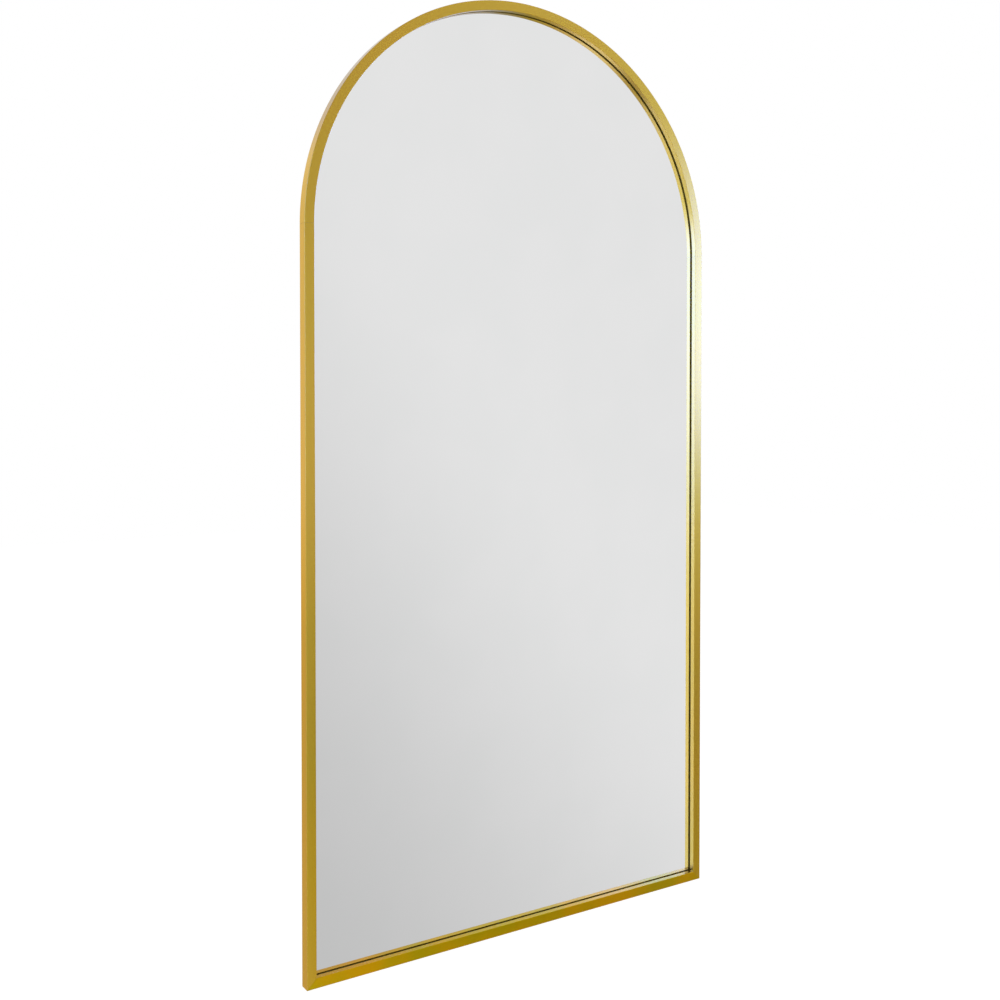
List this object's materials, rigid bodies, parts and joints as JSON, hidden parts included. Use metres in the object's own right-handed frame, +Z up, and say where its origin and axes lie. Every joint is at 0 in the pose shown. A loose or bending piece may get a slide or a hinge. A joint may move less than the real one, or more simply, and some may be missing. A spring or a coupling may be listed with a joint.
{
  "type": "arched leaning floor mirror",
  "caption": "Tall arched floor mirror in a slim gold metal frame, with a fold-out rear stand, hanging rings and rubber heels.",
  "frame": {"origin": "middle of the frame's underside, where the bottom rail stands on the floor, halfway between the frame's front and rear faces", "axes": "+X across the mirror to the viewer's right, +Y from the mirror's face to its back, +Z up"},
  "size_m": [0.914, 0.0561, 1.8],
  "materials": {
    "frame_gold": "satin gold anodised aluminium extrusion, faintly brushed along its length, bright on its arrises",
    "mirror_silver": "silvered float glass, clear and flat",
    "gasket_black": "dark glazing strip, matte",
    "film_grey": "matte grey polyester safety film",
    "board_brown": "brown hardboard with a smooth matte face and fine fibres",
    "brace_silver": "mill-finish aluminium with faint drawing lines",
    "stand_black": "black powder-coated steel tube with a fine orange-peel texture",
    "steel_zinc": "bright zinc-plated pressed steel",
    "rubber_black": "matte black moulded rubber"
  },
  "bodies": {
    "root": {"backing_board": "board_brown", "clip_arch_left": "steel_zinc", "clip_arch_right": "steel_zinc", "clip_base_left": "steel_zinc", "clip_base_right": "steel_zinc", "clip_screw_arch_left": "steel_zinc", "clip_screw_arch_right": "steel_zinc", "clip_screw_base_left": "steel_zinc", "clip_screw_base_right": "steel_zinc", "clip_screw_side_left": "steel_zinc", "clip_screw_side_right": "steel_zinc", "clip_side_left": "steel_zinc", "clip_side_right": "steel_zinc", "corner_key_left": "brace_silver", "corner_key_right": "brace_silver", "frame_arch": "frame_gold", "frame_bottom_rail": "frame_gold", "frame_left_stile": "frame_gold", "frame_right_stile": "frame_gold", "glazing_gasket": "gasket_black", "heel_left": "rubber_black", "heel_right": "rubber_black", "hinge_bracket_left": "steel_zinc", "hinge_bracket_right": "steel_zinc", "hinge_rivet_left": "steel_zinc", "hinge_rivet_right": "steel_zinc", "hinge_screw_left_a": "steel_zinc", "hinge_screw_left_b": "steel_zinc", "hinge_screw_right_a": "steel_zinc", "hinge_screw_right_b": "steel_zinc", "key_screw_left_rail": "steel_zinc", "key_screw_left_stile": "steel_zinc", "key_screw_right_rail": "steel_zinc", "key_screw_right_stile": "steel_zinc", "lower_brace": "brace_silver", "lower_brace_screw_left": "steel_zinc", "lower_brace_screw_right": "steel_zinc", "mirror_glass": "mirror_silver", "ring_screw_left": "steel_zinc", "ring_screw_right": "steel_zinc", "ring_strap_left": "steel_zinc", "ring_strap_right": "steel_zinc", "safety_film": "film_grey", "splice_key_left": "brace_silver", "splice_key_right": "brace_silver", "upper_brace": "brace_silver", "upper_brace_screw_left": "steel_zinc", "upper_brace_screw_right": "steel_zinc", "wall_bumper_left": "rubber_black", "wall_bumper_right": "rubber_black"},
    "stand": {"stand_tube": "stand_black", "stand_lug_left": "steel_zinc", "stand_lug_right": "steel_zinc", "stand_foot_left": "rubber_black", "stand_foot_right": "rubber_black"},
    "ring_left": {"hanging_ring_left": "steel_zinc"},
    "ring_right": {"hanging_ring_right": "steel_zinc"}
  },
  "joints": [
    {"name": "stand_fold", "type": "hinge", "parent": "root", "child": "stand", "pos_m": [0, 0.03395, 1.15], "axis": [1, 0, 0], "range_deg": [0, 20]},
    {"name": "ring_left_swing", "type": "hinge", "parent": "root", "child": "ring_left", "pos_m": [-0.33, 0.02475, 1.161], "axis": [1, 0, 0], "range_deg": [0, 170]},
    {"name": "ring_right_swing", "type": "hinge", "parent": "root", "child": "ring_right", "pos_m": [0.33, 0.02475, 1.161], "axis": [1, 0, 0], "range_deg": [0, 170]}
  ]
}
